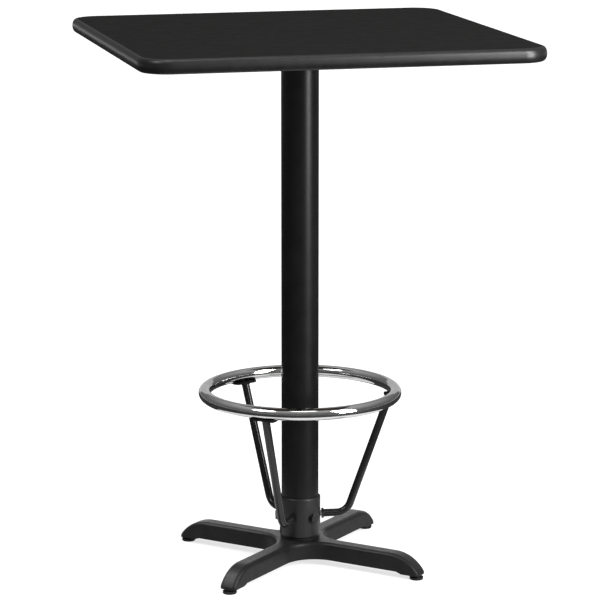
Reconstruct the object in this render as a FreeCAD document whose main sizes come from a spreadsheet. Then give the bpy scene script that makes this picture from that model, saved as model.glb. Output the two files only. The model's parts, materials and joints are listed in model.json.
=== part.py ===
import FreeCAD, Part
import os
import Sketcher

# Bar-height pub table: a square laminate top on a steel column, a four-legged cast base on
# levelling glides, and a chrome foot ring on three struts, clamped to the column by a collar.
# +Z is up, lengths are millimetres, and the origin is on the floor under the column.

doc = FreeCAD.newDocument("pub_table")
V = FreeCAD.Vector

# Driving dimensions: alias, value, meaning.
SIZES = [
    ("overallHeight", 1095.4, "floor to the top of the laminate"),
    ("topSide", 800, "side of the square top, over the edge moulding"),
    ("topCorner", 60, "plan radius of the top's corners"),
    ("topThickness", 28.6, "whole top, skins included"),
    ("skinThickness", 0.9, "laminate and backer sheet"),
    ("edgeWidth", 10, "edge moulding, outside the core"),
    ("edgeRounding", 9.5, "bullnose radius of the moulding"),
    ("barbDepth", 9, "moulding's tongue into the core"),
    ("barbThickness", 2.2, "moulding's tongue"),
    ("barbClearance", 0.1, "kerf round the tongue, each side"),
    ("spiderReach", 150, "spider arm tip from the axis"),
    ("spiderArmWidth", 38, "spider arm"),
    ("spiderThickness", 6, "spider plate"),
    ("spiderHub", 46, "radius of the spider's round centre"),
    ("plugDepth", 14, "spider's locating ring inside the column"),
    ("plugWall", 4, "wall of the locating rings"),
    ("plugClearance", 0.4, "locating rings to the column bore, radial"),
    ("bossRadius", 13, "spider's tapped boss"),
    ("bossDepth", 28, "spider's tapped boss, below the plate"),
    ("woodScrewInner", 92, "inner wood screws from the axis"),
    ("woodScrewOuter", 136, "outer wood screws from the axis"),
    ("woodScrewRadius", 2.3, "wood screw shank"),
    ("woodScrewHead", 4.6, "wood screw head radius"),
    ("woodScrewHeadHeight", 2.8, "wood screw pan head"),
    ("woodScrewGrip", 20, "wood screw above the spider plate"),
    ("columnDiameter", 76.2, "column tube, outside"),
    ("columnWall", 2, "column tube wall"),
    ("baseHeight", 50, "flat top of the legs"),
    ("hubRise", 5.5, "round column seat above the legs"),
    ("hubRadius", 40.4, "round column seat"),
    ("legWidth", 37, "leg, side to side"),
    ("glideCircle", 274, "glide axis from the column axis"),
    ("footReach", 12, "end of a leg beyond the glide axis"),
    ("footCorner", 10, "corners of a leg's end in plan"),
    ("webRadius", 65, "concave corner between two legs"),
    ("legEndStart", 221, "where the top of a leg starts to curve down"),
    ("legEndRadius", 76, "curve of a leg's end"),
    ("legUnderside", 14, "underside of a leg above the floor"),
    ("footUnderside", 10, "underside of the foot above the floor"),
    ("footStart", 249, "inner edge of the foot"),
    ("footSlope", 12, "run of the slope from the leg to the foot"),
    ("legRounding", 8, "rounded top edges of the casting"),
    ("legWall", 5.5, "side wall of the hollow leg"),
    ("legRoof", 8, "top wall of the hollow leg"),
    ("hollowReach", 223, "end of the hollow from the axis"),
    ("hubRecess", 30, "radius of the recess under the hub"),
    ("spigotHeight", 18, "base's locating ring inside the column"),
    ("rodRadius", 5, "tie rod"),
    ("rodHoleClearance", 0.5, "tie rod in the base and washers, radial"),
    ("rodEngagement", 22, "tie rod in the spider's boss"),
    ("rodStickOut", 5, "tie rod below its nut"),
    ("threadClearance", 0.05, "threaded pieces in their holes, radial"),
    ("plateWasherRadius", 25, "large washer under the hub"),
    ("plateWasherThickness", 3, "large washer under the hub"),
    ("springWasherRadius", 9, "spring washer"),
    ("springWasherThickness", 2.2, "spring washer"),
    ("rodNutFlats", 17, "tie rod nut across flats"),
    ("rodNutHeight", 8, "tie rod nut"),
    ("padRadius", 14, "glide pad"),
    ("padThickness", 6, "glide pad's wide part"),
    ("padEdge", 1, "bevel of the glide pad"),
    ("padNeck", 9, "radius of the pad's neck"),
    ("glideGap", 0.3, "pad's neck to the foot when screwed home"),
    ("studRadius", 4, "glide stud"),
    ("studFloor", 3, "lower end of the glide stud above the floor"),
    ("studGrip", 10, "glide stud inside the foot"),
    ("studEndRoom", 0.6, "hole beyond the end of the glide stud"),
    ("studClearance", 0.08, "glide stud in its hole, radial"),
    ("collarRadius", 42, "collar, outside"),
    ("collarHeight", 83, "collar"),
    ("collarClearance", 0.3, "collar to the column, radial, and to the hub below"),
    ("collarRounding", 1.2, "rims of the collar"),
    ("strutPhase", -6, "direction of the first strut, degrees"),
    ("setScrewRadius", 5, "collar set screw"),
    ("setScrewFlats", 17, "set screw head across flats"),
    ("setScrewHead", 6.4, "set screw head"),
    ("setScrewGap", 3, "bare thread between collar and head"),
    ("setScrewTip", 0.3, "set screw tip to the column"),
    ("strutDiameter", 16, "strut tube"),
    ("strutWall", 2, "strut tube wall"),
    ("strutKnee", 97.5, "strut's corner from the axis"),
    ("strutBend", 30, "strut bend, to the tube's centre line"),
    ("strutTopInset", 6, "strut's upper end, inside the bracket's centre"),
    ("strutStudGrip", 20, "strut stud inside the strut"),
    ("lockNutFlats", 19, "strut lock nut across flats"),
    ("lockNutHeight", 4.5, "strut lock nut"),
    ("lockNutGap", 2.5, "bare thread between collar and lock nut"),
    ("ringRadius", 195, "foot ring, to the tube's centre line"),
    ("ringTube", 25.4, "foot ring tube"),
    ("ringWall", 1.5, "foot ring tube wall"),
    ("ringHeight", 356, "foot ring's centre above the floor"),
    ("bracketLength", 54, "bracket plate, along the ring"),
    ("bracketWidth", 28, "bracket plate, across the ring"),
    ("bracketCorner", 9, "bracket plate's corners in plan"),
    ("bracketInset", 4, "bracket's centre inside the ring's centre line"),
    ("bracketThickness", 3, "bracket plate under the tube"),
    ("bracketCradle", 1.5, "rise of the plate beside the tube"),
    ("bracketScrewSpacing", 36, "two screws of a bracket"),
    ("ringScrewRadius", 2.5, "ring screw shank"),
    ("ringScrewHead", 4.7, "ring screw head radius"),
    ("ringScrewHeadHeight", 3, "ring screw pan head"),
    ("ringScrewLength", 9, "ring screw above its head"),
]

sheet = doc.addObject("Spreadsheet::Sheet", "Sizes")
for row, (alias, value, meaning) in enumerate(SIZES, start=1):
    sheet.set(f"A{row}", meaning)
    sheet.set(f"B{row}", str(value))
    sheet.setAlias(f"B{row}", alias)
doc.recompute()

# Derived sizes, as expressions on the sheet.
CORE_SIDE = "(Sizes.topSide - 2 * Sizes.edgeWidth)"
CORE_CORNER = "(Sizes.topCorner - Sizes.edgeWidth)"
CORE_THICKNESS = "(Sizes.topThickness - 2 * Sizes.skinThickness)"
TOP_UNDERSIDE = "(Sizes.overallHeight - Sizes.topThickness)"
COLUMN_RADIUS = "(Sizes.columnDiameter / 2)"
COLUMN_BORE = "(Sizes.columnDiameter / 2 - Sizes.columnWall)"
PLUG_RADIUS = f"({COLUMN_BORE} - Sizes.plugClearance)"
COLUMN_TOP = f"({TOP_UNDERSIDE} - Sizes.spiderThickness)"
HUB_TOP = "(Sizes.baseHeight + Sizes.hubRise)"
HUB_CEILING = "(Sizes.baseHeight - Sizes.legRoof)"
ROD_HOLE = "(Sizes.rodRadius + Sizes.rodHoleClearance)"
PLATE_WASHER_BOTTOM = f"({HUB_CEILING} - Sizes.plateWasherThickness)"
SPRING_WASHER_BOTTOM = f"({PLATE_WASHER_BOTTOM} - Sizes.springWasherThickness)"
ROD_NUT_BOTTOM = f"({SPRING_WASHER_BOTTOM} - Sizes.rodNutHeight)"
ROD_BOTTOM = f"({ROD_NUT_BOTTOM} - Sizes.rodStickOut)"
ROD_TOP = f"({COLUMN_TOP} - Sizes.bossDepth + Sizes.rodEngagement)"
PAD_TOP = "(Sizes.footUnderside - Sizes.glideGap)"
STUD_TOP = "(Sizes.footUnderside + Sizes.studGrip)"
COLLAR_BORE = f"({COLUMN_RADIUS} + Sizes.collarClearance)"
COLLAR_BOTTOM = f"({HUB_TOP} + Sizes.collarClearance)"
STRUT_HEIGHT = f"({COLLAR_BOTTOM} + Sizes.collarHeight / 2)"
LOCK_NUT_START = "(Sizes.collarRadius + Sizes.lockNutGap)"
STRUT_START = f"({LOCK_NUT_START} + Sizes.lockNutHeight)"
STRUT_STUD = "(Sizes.strutDiameter / 2 - Sizes.strutWall - Sizes.threadClearance)"
RING_BOTTOM = "(Sizes.ringHeight - Sizes.ringTube / 2)"
BRACKET_BOTTOM = f"({RING_BOTTOM} - Sizes.bracketThickness)"
BRACKET_RADIUS = "(Sizes.ringRadius - Sizes.bracketInset)"
STRUT_TOP = f"({BRACKET_RADIUS} - Sizes.strutTopInset)"

CORNER_ANGLES = {"front_left": 225, "front_right": 315, "rear_right": 45, "rear_left": 135}
STRUT_ANGLES = {"right": 0, "rear": 120, "front": 240}
STRUTS = len(STRUT_ANGLES)
LEGS = len(CORNER_ANGLES)
LEG_TURN = 45  # legs and spider arms point to the corners of the top


def value(expression):
    """The number that an expression on the sheet gives."""
    return float(sheet.evalExpression(str(expression)))


def new_body(name):
    body = doc.addObject("PartDesign::Body", name)
    body.Label = name
    body.AllowCompound = True
    return body


def place(body, x="0", y="0", z="0", turn="0"):
    """Put a body in the table's frame, turned about Z by an angle in degrees."""
    for axis, expression in zip("xyz", (x, y, z)):
        body.setExpression(f"Placement.Base.{axis}", expression)
    body.setExpression("Placement.Rotation.Angle", f"({turn}) * 1 deg")
    return body


def origin_feature(body, role):
    return next(item for item in body.Origin.OriginFeatures if item.Role == role)


def new_sketch(body, name, plane="XY_Plane", right="0", up="0", out="0"):
    """A sketch on a plane of the body's origin, moved in its own axes by expressions."""
    sketch = body.newObject("Sketcher::SketchObject", f"{body.Name}_{name}")
    sketch.AttachmentSupport = [(origin_feature(body, plane), "")]
    sketch.MapMode = "FlatFace"
    for axis, expression in zip("xyz", (right, up, out)):
        sketch.setExpression(f".AttachmentOffset.Base.{axis}", expression)
    return sketch


def bind(sketch, *constraint, size):
    """Add a dimension to a sketch and bind it to an expression."""
    index = sketch.addConstraint(Sketcher.Constraint(*constraint, value(size)))
    sketch.setExpression(f"Constraints[{index}]", size)


def pin_point(sketch, item, point, x, y):
    """Hold one point of a sketch at (x, y), both expressions."""
    for kind, expression, axis in (("DistanceX", x, -2), ("DistanceY", y, -1)):
        amount = value(expression)
        if abs(amount) < 1e-9:
            sketch.addConstraint(Sketcher.Constraint("PointOnObject", item, point, axis))
        elif amount > 0:
            bind(sketch, kind, -1, 1, item, point, size=expression)
        else:
            bind(sketch, kind, item, point, -1, 1, size=f"-({expression})")


def add_circle(sketch, radius, x="0", y="0"):
    centre = V(value(x), value(y), 0)
    item = sketch.addGeometry(Part.Circle(centre, V(0, 0, 1), value(radius)))
    pin_point(sketch, item, 3, x, y)
    bind(sketch, "Radius", item, size=radius)
    return sketch


def add_polygon(sketch, points):
    """A closed outline of straight lines through points given as pairs of expressions."""
    corners = [V(value(x), value(y), 0) for x, y in points]
    lines = []
    for start, end in zip(corners, corners[1:] + corners[:1]):
        lines.append(sketch.addGeometry(Part.LineSegment(start, end)))
    for line, following in zip(lines, lines[1:] + lines[:1]):
        sketch.addConstraint(Sketcher.Constraint("Coincident", line, 2, following, 1))
    for line, (x, y) in zip(lines, points):
        pin_point(sketch, line, 1, x, y)
    return sketch


def add_hexagon(sketch, flats):
    """A hexagon round the sketch's origin, by its size across flats."""
    half, corner = f"({flats} / 2)", f"({flats} / sqrt(3))"
    return add_polygon(sketch, [
        ("0", corner), (f"-{half}", f"{corner} / 2"), (f"-{half}", f"-{corner} / 2"),
        ("0", f"-{corner}"), (half, f"-{corner} / 2"), (half, f"{corner} / 2"),
    ])


def add_rounded_rectangle(sketch, width, depth, radius, x="0"):
    """A rectangle with round corners, centred at (x, 0)."""
    half_width, half_depth, corner = value(width) / 2, value(depth) / 2, value(radius)
    middle = V(value(x), 0, 0)
    turns = [(1, 1, 0), (-1, 1, 90), (-1, -1, 180), (1, -1, 270)]
    arcs, ends = [], []
    for side, level, start in turns:
        centre = middle + V(side * (half_width - corner), level * (half_depth - corner), 0)
        circle = Part.Circle(centre, V(0, 0, 1), corner)
        arc = Part.ArcOfCircle(circle, *[FreeCAD.Units.Quantity(f"{a} deg").getValueAs("rad").Value
                                         for a in (start, start + 90)])
        arcs.append(sketch.addGeometry(arc))
        ends.append((arc.StartPoint, arc.EndPoint))
    for number, arc in enumerate(arcs):
        following = (number + 1) % 4
        line = sketch.addGeometry(Part.LineSegment(ends[number][1], ends[following][0]))
        sketch.addConstraint(Sketcher.Constraint("Tangent", arc, 2, line, 1))
        sketch.addConstraint(Sketcher.Constraint("Tangent", line, 2, arcs[following], 1))
        kind = "Horizontal" if number % 2 == 0 else "Vertical"
        sketch.addConstraint(Sketcher.Constraint(kind, line))
    for arc in arcs[1:]:
        sketch.addConstraint(Sketcher.Constraint("Equal", arcs[0], arc))
    bind(sketch, "Radius", arcs[0], size=radius)
    pin_point(sketch, arcs[0], 3, f"{x} + {width} / 2 - {radius}", f"{depth} / 2 - {radius}")
    pin_point(sketch, arcs[2], 3, f"{x} - {width} / 2 + {radius}", f"-{depth} / 2 + {radius}")
    return sketch


def pad(body, sketch, length):
    feature = body.newObject("PartDesign::Pad", f"{sketch.Name}_pad")
    feature.Profile = sketch
    feature.setExpression("Length", length)
    doc.recompute()
    return feature


def pocket(body, sketch, length=None):
    """Cut against the sketch's normal, by a length or through everything."""
    feature = body.newObject("PartDesign::Pocket", f"{sketch.Name}_cut")
    feature.Profile = sketch
    if length is None:
        feature.Type = "ThroughAll"
    else:
        feature.setExpression("Length", length)
    doc.recompute()
    return feature


def turned(body, sketch, axis="V_Axis", kind="Revolution"):
    """Turn a profile right round an axis of its sketch; kind Groove cuts."""
    feature = body.newObject(f"PartDesign::{kind}", f"{sketch.Name}_{kind.lower()}")
    feature.Profile = sketch
    feature.ReferenceAxis = (sketch, [axis])
    feature.Angle = 360
    doc.recompute()
    return feature


def around_axis(body, features, count):
    """Repeat features about the body's Z axis."""
    pattern = body.newObject("PartDesign::PolarPattern", f"{body.Name}_pattern")
    pattern.Originals = features
    pattern.Axis = (origin_feature(body, "Z_Axis"), [""])
    pattern.Angle = 360
    pattern.Occurrences = count
    body.Tip = pattern
    doc.recompute()
    return pattern


def round_edges(body, base, radius, wanted, kind="Fillet"):
    """Round, or bevel, each edge of the base feature for which wanted(edge) is true."""
    names = [f"Edge{n}" for n, edge in enumerate(base.Shape.Edges, start=1) if wanted(edge)]
    feature = body.newObject(f"PartDesign::{kind}", f"{base.Name}_{kind.lower()}")
    feature.Base = (base, names)
    feature.setExpression("Radius" if kind == "Fillet" else "Size", radius)
    doc.recompute()
    return feature


def level_at(edge, height):
    """True for an edge that lies in a level plane at this height of its own body."""
    return all(abs(vertex.Z - height) < 1e-4 for vertex in edge.Vertexes) \
        and abs(edge.BoundBox.ZLength) < 1e-4


def ring_body(name, outer, inner, height, z):
    """A plain washer or tube standing on the height z."""
    body = new_body(name)
    sketch = new_sketch(body, "section")
    add_circle(sketch, outer)
    add_circle(sketch, inner)
    pad(body, sketch, height)
    return place(body, z=z)


def screw(body, name, radius, x, y, axis_length, shank, head, head_height):
    """A pan-head screw that points up, its head under the height zero of its body."""
    dome = f"({head_height} * 0.45)"
    sketch = new_sketch(body, name, "XZ_Plane", right=x, out=f"-({y})")
    add_polygon(sketch, [
        ("0", f"-{head_height}"), (f"{head} * 0.62", f"-{head_height}"), (head, f"-{dome}"),
        (head, "0"), (shank, "0"), (shank, f"{axis_length} - {radius}"),
        (f"{radius} * 0.3", axis_length), ("0", axis_length),
    ])
    return turned(body, sketch)


def bevel_triangle(flats):
    """How far out and how high the 30-degree bevel of a hexagon's corners reaches."""
    reach = f"({flats} * 0.61)"
    return reach, f"(({reach} - {flats} * 0.49) * tan(30 deg))"


# ---------------------------------------------------------------- the top

def wood_screw_positions():
    return ("Sizes.woodScrewInner", "Sizes.woodScrewOuter")


def drill_wood_screw_holes(body, depth_sketch_height, clearance):
    """Eight holes, two along each spider arm, cut down from a height of the body."""
    cuts = []
    for number, distance in enumerate(wood_screw_positions()):
        sketch = new_sketch(body, f"screw_hole_{number}", out=depth_sketch_height)
        add_circle(sketch, f"Sizes.woodScrewRadius + {clearance}", x=distance)
        cuts.append(pocket(body, sketch))
    return around_axis(body, cuts, LEGS)


def make_top_core():
    """The board under the laminate, with a kerf round its edge for the moulding's tongue."""
    body = new_body("top_core")
    outline = add_rounded_rectangle(new_sketch(body, "outline"), CORE_SIDE, CORE_SIDE, CORE_CORNER)
    pad(body, outline, CORE_THICKNESS)
    kerf_height = "(Sizes.barbThickness + 2 * Sizes.barbClearance)"
    kerf_inset = "(Sizes.barbDepth + Sizes.barbClearance)"
    kerf = new_sketch(body, "kerf", out=f"({CORE_THICKNESS} + {kerf_height}) / 2")
    add_rounded_rectangle(kerf, "Sizes.topSide", "Sizes.topSide", "Sizes.topCorner")
    inner = f"({CORE_SIDE} - 2 * {kerf_inset})"
    add_rounded_rectangle(kerf, inner, inner, f"({CORE_CORNER} - {kerf_inset})")
    pocket(body, kerf, kerf_height)
    place(body, z=f"{TOP_UNDERSIDE} + Sizes.skinThickness")
    return body


def drill_top_core(body):
    """Blind pilot holes from below, turned to the spider's arms."""
    depth = "(Sizes.woodScrewGrip - Sizes.skinThickness + Sizes.threadClearance)"
    for angle in CORNER_ANGLES.values():
        for number, distance in enumerate(wood_screw_positions()):
            sketch = new_sketch(body, f"pilot_{angle}_{number}", out=depth)
            add_circle(sketch, "Sizes.woodScrewRadius + Sizes.threadClearance",
                       x=f"{distance} * cos({angle} deg)", y=f"{distance} * sin({angle} deg)")
            pocket(body, sketch)
    return body


def make_skin(name, z, drilled):
    """A laminate sheet over one face of the core."""
    body = new_body(name)
    outline = add_rounded_rectangle(new_sketch(body, "outline"), CORE_SIDE, CORE_SIDE, CORE_CORNER)
    pad(body, outline, "Sizes.skinThickness")
    if drilled:
        holes = new_sketch(body, "holes", out="Sizes.skinThickness")
        for angle in CORNER_ANGLES.values():
            for distance in wood_screw_positions():
                add_circle(holes, "Sizes.woodScrewRadius + Sizes.threadClearance",
                           x=f"{distance} * cos({angle} deg)", y=f"{distance} * sin({angle} deg)")
        pocket(body, holes)
    return place(body, z=z)


def make_edge_moulding():
    """The bullnose edge, with a tongue that sits in the core's kerf."""
    body = new_body("edge_moulding")
    outline = new_sketch(body, "outline")
    add_rounded_rectangle(outline, "Sizes.topSide", "Sizes.topSide", "Sizes.topCorner")
    block = pad(body, outline, "Sizes.topThickness")
    levels = (0, value("Sizes.topThickness"))
    round_edges(body, block, "Sizes.edgeRounding",
                lambda edge: any(level_at(edge, level) for level in levels))
    opening = new_sketch(body, "opening", out="Sizes.topThickness")
    add_rounded_rectangle(opening, CORE_SIDE, CORE_SIDE, CORE_CORNER)
    pocket(body, opening)
    tongue = new_sketch(body, "tongue", out="(Sizes.topThickness - Sizes.barbThickness) / 2")
    root = f"({CORE_SIDE} + Sizes.edgeWidth)"
    add_rounded_rectangle(tongue, root, root, f"({CORE_CORNER} + Sizes.edgeWidth / 2)")
    tip = f"({CORE_SIDE} - 2 * Sizes.barbDepth)"
    add_rounded_rectangle(tongue, tip, tip, f"({CORE_CORNER} - Sizes.barbDepth)")
    pad(body, tongue, "Sizes.barbThickness")
    return place(body, z=TOP_UNDERSIDE)


def make_top_spider():
    """The four-armed plate that joins the top to the column, with a tapped boss for the rod."""
    body = new_body("top_spider")
    hub = pad(body, add_circle(new_sketch(body, "hub"), "Sizes.spiderHub"), "Sizes.spiderThickness")
    arms = "(2 * Sizes.spiderReach)"
    for name, width, depth in (("arm_x", arms, "Sizes.spiderArmWidth"),
                               ("arm_y", "Sizes.spiderArmWidth", arms)):
        sketch = new_sketch(body, name)
        add_rounded_rectangle(sketch, width, depth, "Sizes.spiderArmWidth * 0.45")
        hub = pad(body, sketch, "Sizes.spiderThickness")
    drill_wood_screw_holes(body, "Sizes.spiderThickness", "Sizes.threadClearance")
    plug = new_sketch(body, "plug", out="-Sizes.plugDepth")
    add_circle(plug, PLUG_RADIUS)
    add_circle(plug, f"{PLUG_RADIUS} - Sizes.plugWall")
    pad(body, plug, "Sizes.plugDepth")
    boss = add_circle(new_sketch(body, "boss", out="-Sizes.bossDepth"), "Sizes.bossRadius")
    pad(body, boss, "Sizes.bossDepth")
    thread = new_sketch(body, "thread")
    add_circle(thread, "Sizes.rodRadius + Sizes.threadClearance")
    pocket(body, thread)
    return place(body, z=COLUMN_TOP, turn=str(LEG_TURN))


def make_spider_screws():
    """Pan-head wood screws through the spider's arms into the core."""
    body = new_body("spider_screws")
    screws = []
    for number, distance in enumerate(wood_screw_positions()):
        screws.append(screw(body, f"screw_{number}", "Sizes.woodScrewRadius", distance, "0",
                            "(Sizes.spiderThickness + Sizes.woodScrewGrip)", "Sizes.woodScrewRadius",
                            "Sizes.woodScrewHead", "Sizes.woodScrewHeadHeight"))
    around_axis(body, screws, LEGS)
    return place(body, z=COLUMN_TOP, turn=str(LEG_TURN))


# ---------------------------------------------------------------- the column and its tie rod

def make_rod_nut():
    body = new_body("rod_nut")
    sketch = add_hexagon(new_sketch(body, "section"), "Sizes.rodNutFlats")
    add_circle(sketch, "Sizes.rodRadius + Sizes.threadClearance")
    pad(body, sketch, "Sizes.rodNutHeight")
    reach, rise = bevel_triangle("Sizes.rodNutFlats")
    corners = add_polygon(new_sketch(body, "corners", "XZ_Plane"), [
        ("Sizes.rodNutFlats * 0.49", "0"), (reach, "0"), (reach, rise)])
    turned(body, corners, kind="Groove")
    return place(body, z=ROD_NUT_BOTTOM)


def make_tie_rod():
    """The threaded rod that pulls spider, column and base together."""
    body = new_body("tie_rod")
    sketch = add_circle(new_sketch(body, "section"), "Sizes.rodRadius")
    pad(body, sketch, f"{ROD_TOP} - {ROD_BOTTOM}")
    return place(body, z=ROD_BOTTOM)


# ---------------------------------------------------------------- the base and its glides

def is_upright(face):
    """True for a wall of the casting: a level normal all over the face."""
    low, high, near, far = face.ParameterRange
    return all(abs(face.normalAt(u, v).z) < 1e-4 for u in (low, high) for v in (near, far))


def make_x_base():
    """The cast base: four legs with curved ends, hollow underneath, and a round column seat."""
    body = new_body("x_base")
    span = "(2 * (Sizes.glideCircle + Sizes.footReach))"
    for name, width, depth in (("leg_x", span, "Sizes.legWidth"), ("leg_y", "Sizes.legWidth", span)):
        sketch = new_sketch(body, name, out="Sizes.footUnderside")
        add_rounded_rectangle(sketch, width, depth, "Sizes.footCorner")
        cross = pad(body, sketch, "Sizes.baseHeight - Sizes.footUnderside")

    corner = value("Sizes.legWidth / 2")
    webs = round_edges(body, cross, "Sizes.webRadius", lambda edge: all(
        abs(abs(vertex.X) - corner) < 1e-3 and abs(abs(vertex.Y) - corner) < 1e-3
        for vertex in edge.Vertexes) and edge.BoundBox.ZLength > 1)

    ends = new_sketch(body, "leg_ends", "XZ_Plane")
    low, reach = "(Sizes.baseHeight - Sizes.legEndRadius)", "(Sizes.legEndStart + Sizes.legEndRadius)"
    centre, curve = V(value("Sizes.legEndStart"), value(low), 0), value("Sizes.legEndRadius")
    quarter = FreeCAD.Units.Quantity("90 deg").getValueAs("rad").Value
    arc = ends.addGeometry(Part.ArcOfCircle(Part.Circle(centre, V(0, 0, 1), curve), 0, quarter))
    outside = [("Sizes.legEndStart", "Sizes.baseHeight"),
               ("Sizes.legEndStart", "(Sizes.baseHeight + Sizes.hubRise)"),
               (f"({reach} + Sizes.hubRise)", "(Sizes.baseHeight + Sizes.hubRise)"),
               (f"({reach} + Sizes.hubRise)", low), (reach, low)]
    corners = [V(value(x), value(y), 0) for x, y in outside]
    lines = [ends.addGeometry(Part.LineSegment(a, b)) for a, b in zip(corners, corners[1:])]
    ends.addConstraint(Sketcher.Constraint("Coincident", arc, 2, lines[0], 1))
    ends.addConstraint(Sketcher.Constraint("Coincident", lines[-1], 2, arc, 1))
    for line, following in zip(lines, lines[1:]):
        ends.addConstraint(Sketcher.Constraint("Coincident", line, 2, following, 1))
    for line, (x, y) in zip(lines, outside):
        pin_point(ends, line, 1, x, y)
    pin_point(ends, arc, 3, "Sizes.legEndStart", low)
    ends.addConstraint(Sketcher.Constraint("Horizontal", arc, 3, arc, 1))
    curved = turned(body, ends, kind="Groove")

    arch = add_polygon(new_sketch(body, "arch", "XZ_Plane"), [
        ("0", "0"), ("Sizes.footStart", "0"),
        ("Sizes.footStart", "Sizes.footUnderside"),
        ("(Sizes.footStart - Sizes.footSlope)", "Sizes.legUnderside"), ("0", "Sizes.legUnderside")])
    arched = turned(body, arch, kind="Groove")

    lowest = value("Sizes.legUnderside")

    def top_outline(edge):
        if edge.BoundBox.ZMin < lowest - value("Sizes.legRounding"):
            return False
        faces = arched.Shape.ancestorsOfType(edge, Part.Face)
        walls = [face for face in faces if is_upright(face)]
        return len(faces) == 2 and len(walls) == 1 and edge.BoundBox.ZMax > lowest + 1 \
            and edge.BoundBox.ZMin > value("Sizes.footUnderside") + 1 \
            and not level_at(edge, lowest)

    round_edges(body, arched, "Sizes.legRounding", top_outline)

    inner = "(Sizes.legWidth - 2 * Sizes.legWall)"
    hollow = "(2 * Sizes.hollowReach)"
    for name, width, depth in (("hollow_x", hollow, inner), ("hollow_y", inner, hollow)):
        sketch = new_sketch(body, name, out=HUB_CEILING)
        pocket(body, add_rounded_rectangle(sketch, width, depth, f"{inner} * 0.4"))
    pocket(body, add_circle(new_sketch(body, "recess", out=HUB_CEILING), "Sizes.hubRecess"))

    stud_hole = new_sketch(body, "stud_hole", out=f"{STUD_TOP} + Sizes.studEndRoom")
    add_circle(stud_hole, "Sizes.studRadius + Sizes.studClearance", x="Sizes.glideCircle")
    around_axis(body, [pocket(body, stud_hole)], LEGS)

    seat = add_circle(new_sketch(body, "seat", out=HUB_CEILING), "Sizes.hubRadius")
    pad(body, seat, f"{HUB_TOP} - {HUB_CEILING}")
    spigot = new_sketch(body, "spigot", out=HUB_TOP)
    add_circle(spigot, PLUG_RADIUS)
    add_circle(spigot, f"{PLUG_RADIUS} - Sizes.plugWall")
    pad(body, spigot, "Sizes.spigotHeight")
    pocket(body, add_circle(new_sketch(body, "rod_hole", out=HUB_TOP), ROD_HOLE))
    return place(body, turn=str(LEG_TURN))


def place_glide(body, angle, z="0"):
    return place(body, f"Sizes.glideCircle * cos({angle} deg)",
                 f"Sizes.glideCircle * sin({angle} deg)", z)


def make_glide_pad(name, angle):
    """The moulded foot of a levelling glide, with a blind bore for its stud."""
    body = new_body(name)
    rim = "(Sizes.padRadius - Sizes.padEdge)"
    profile = add_polygon(new_sketch(body, "profile", "XZ_Plane"), [
        ("0", "0"), (rim, "0"), ("Sizes.padRadius", "Sizes.padEdge"),
        ("Sizes.padRadius", "(Sizes.padThickness - Sizes.padEdge)"), (rim, "Sizes.padThickness"),
        ("Sizes.padNeck", "Sizes.padThickness"), ("Sizes.padNeck", PAD_TOP),
        ("Sizes.studRadius", PAD_TOP), ("Sizes.studRadius", "Sizes.studFloor"),
        ("0", "Sizes.studFloor")])
    turned(body, profile)
    return place_glide(body, angle)


def make_glide_stud(name, angle):
    body = new_body(name)
    sketch = add_circle(new_sketch(body, "section"), "Sizes.studRadius")
    pad(body, sketch, f"{STUD_TOP} - Sizes.studFloor")
    return place_glide(body, angle, "Sizes.studFloor")


# ---------------------------------------------------------------- the foot ring and its collar

def radial_circle(body, name, radius, out):
    """A circle across the body's X axis, at the height of the struts."""
    return add_circle(new_sketch(body, name, "YZ_Plane", up=STRUT_HEIGHT, out=out), radius)


def bevel_radial_hexagon(body, flats, face, inward):
    """Bevel the corners of a hexagon that stands across the body's X axis, at its face."""
    sketch = new_sketch(body, "corners", "XZ_Plane", up=STRUT_HEIGHT)
    reach, rise = bevel_triangle(flats)
    add_polygon(sketch, [(face, f"{flats} * 0.49"), (face, reach),
                         (f"({face} {inward} {rise})", reach)])
    return turned(body, sketch, "H_Axis", "Groove")


def make_collar():
    """The sleeve round the column, tapped for three struts and three set screws between them."""
    body = new_body("collar")
    section = new_sketch(body, "section", out=COLLAR_BOTTOM)
    add_circle(section, "Sizes.collarRadius")
    add_circle(section, COLLAR_BORE)
    sleeve = pad(body, section, "Sizes.collarHeight")
    rims = (value(COLLAR_BOTTOM), value(f"{COLLAR_BOTTOM} + Sizes.collarHeight"))
    outside = value("Sizes.collarRadius")
    round_edges(body, sleeve, "Sizes.collarRounding", lambda edge: abs(
        edge.BoundBox.XLength / 2 - outside) < 1e-3 and any(level_at(edge, rim) for rim in rims))
    hole = radial_circle(body, "strut_hole", f"{STRUT_STUD} + Sizes.threadClearance", STRUT_START)
    around_axis(body, [pocket(body, hole, f"{STRUT_START} - {COLUMN_RADIUS} / 2")], STRUTS)
    return place(body, turn="Sizes.strutPhase")


def drill_collar(body):
    """The set screw holes, half way between the struts."""
    half_step = 180 / STRUTS
    for angle in STRUT_ANGLES.values():
        turn = angle + half_step
        sketch = radial_circle(body, f"set_hole_{angle}",
                               "Sizes.setScrewRadius + Sizes.threadClearance", STRUT_START)
        sketch.AttachmentOffset = FreeCAD.Placement(
            sketch.AttachmentOffset.Base, FreeCAD.Rotation(V(0, 1, 0), turn))
        sketch.setExpression(".AttachmentOffset.Base.x", f"{STRUT_START} * sin({turn} deg)")
        sketch.setExpression(".AttachmentOffset.Base.z", f"{STRUT_START} * cos({turn} deg)")
        pocket(body, sketch, f"{STRUT_START} - {COLUMN_RADIUS} / 2")
    return body


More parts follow.
